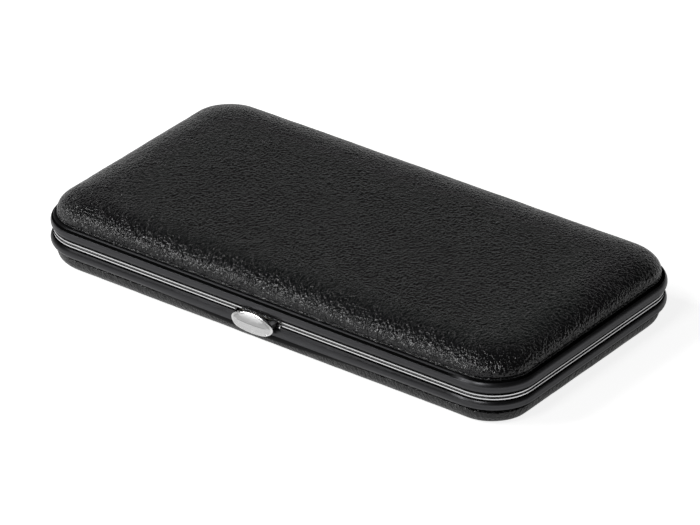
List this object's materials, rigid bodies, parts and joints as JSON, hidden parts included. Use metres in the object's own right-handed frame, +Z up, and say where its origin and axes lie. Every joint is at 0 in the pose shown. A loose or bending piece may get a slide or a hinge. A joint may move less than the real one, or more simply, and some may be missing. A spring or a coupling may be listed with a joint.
{
  "type": "pedicure set",
  "caption": "Slim hinged frame case with padded leather-look covers, polished lips and an oval push clasp, holding nail and foot care tools in elastic loops.",
  "frame": {"origin": "centre of the flat rest face under the base", "axes": "+X along the case to the right, -Y out of the front where the push button is, +Z up through the lid"},
  "size_m": [0.1514, 0.0871, 0.0202],
  "materials": {
    "leather_black": "grained",
    "foam": "matte",
    "shell_steel": "satin",
    "lining": "matte",
    "rail_gunmetal": "satin",
    "lip_bright": "polished",
    "button_polished": "polished",
    "elastic": "matte",
    "tool_steel": "satin",
    "spring_steel": "satin",
    "pin_steel": "polished",
    "file_steel": "cross cut",
    "handle_plastic": "gloss",
    "rasp_plastic": "matte",
    "grit_coarse": "abrasive",
    "grit_fine": "abrasive"
  },
  "bodies": {
    "base": {"base_cover": "leather_black", "base_padding": "foam", "base_shell": "shell_steel", "base_lining": "lining", "base_rail": "rail_gunmetal", "base_lip": "lip_bright", "base_loops": "elastic", "hinge_pins": "pin_steel", "catch_spring": "spring_steel", "catch_rivets": "pin_steel", "nipper_left_lever": "tool_steel", "nipper_pivot": "pin_steel", "nipper_left_leaf": "spring_steel", "tweezer_fixed_arm": "tool_steel", "tweezer_tail": "tool_steel", "cuticle_pusher": "tool_steel"},
    "lid": {"lid_cover": "leather_black", "lid_padding": "foam", "lid_shell": "shell_steel", "lid_lining": "lining", "lid_rail": "rail_gunmetal", "lid_lip": "lip_bright", "lid_loops": "elastic", "strike_plate": "spring_steel", "strike_rivets": "pin_steel", "cuticle_left_lever": "tool_steel", "cuticle_pivot": "pin_steel", "cuticle_left_leaf": "spring_steel", "file_blade": "file_steel", "file_handle": "handle_plastic", "rasp_body": "rasp_plastic", "rasp_coarse_pad": "grit_coarse", "rasp_fine_pad": "grit_fine"},
    "button": {"push_button": "button_polished", "button_slide": "spring_steel"},
    "nipper_lever": {"nipper_right_lever": "tool_steel", "nipper_right_leaf": "spring_steel"},
    "cuticle_lever": {"cuticle_right_lever": "tool_steel", "cuticle_right_leaf": "spring_steel"},
    "tweezer_arm": {"tweezer_moving_arm": "tool_steel"}
  },
  "joints": [
    {"name": "lid_hinge", "type": "hinge", "parent": "base", "child": "lid", "pos_m": [0, 0.04225, 0.0094], "axis": [-1, 0, 0], "range_deg": [0, 170]},
    {"name": "button_press", "type": "slide", "parent": "base", "child": "button", "axis": [0, 1, 0], "range_m": [0, 0.0009], "stiffness_N_per_m": 300, "deforming": ["catch_spring"]},
    {"name": "nipper_close", "type": "hinge", "parent": "base", "child": "nipper_lever", "pos_m": [0.026, 0.011, 0.00635], "axis": [0, 0, -1], "range_deg": [0, 14], "stiffness_Nm_per_rad": 0.8, "deforming": ["nipper_left_leaf", "nipper_right_leaf"]},
    {"name": "cuticle_close", "type": "hinge", "parent": "lid", "child": "cuticle_lever", "pos_m": [0.024, 0.0132, 0.0143], "axis": [0, 0, -1], "range_deg": [0, 12], "stiffness_Nm_per_rad": 0.5, "deforming": ["cuticle_left_leaf", "cuticle_right_leaf"]},
    {"name": "tweezers_close", "type": "hinge", "parent": "base", "child": "tweezer_arm", "pos_m": [-0.048, -0.015, 0.0062], "axis": [0, 0, 1], "range_deg": [0, 3.5], "stiffness_Nm_per_rad": 2.6}
  ]
}
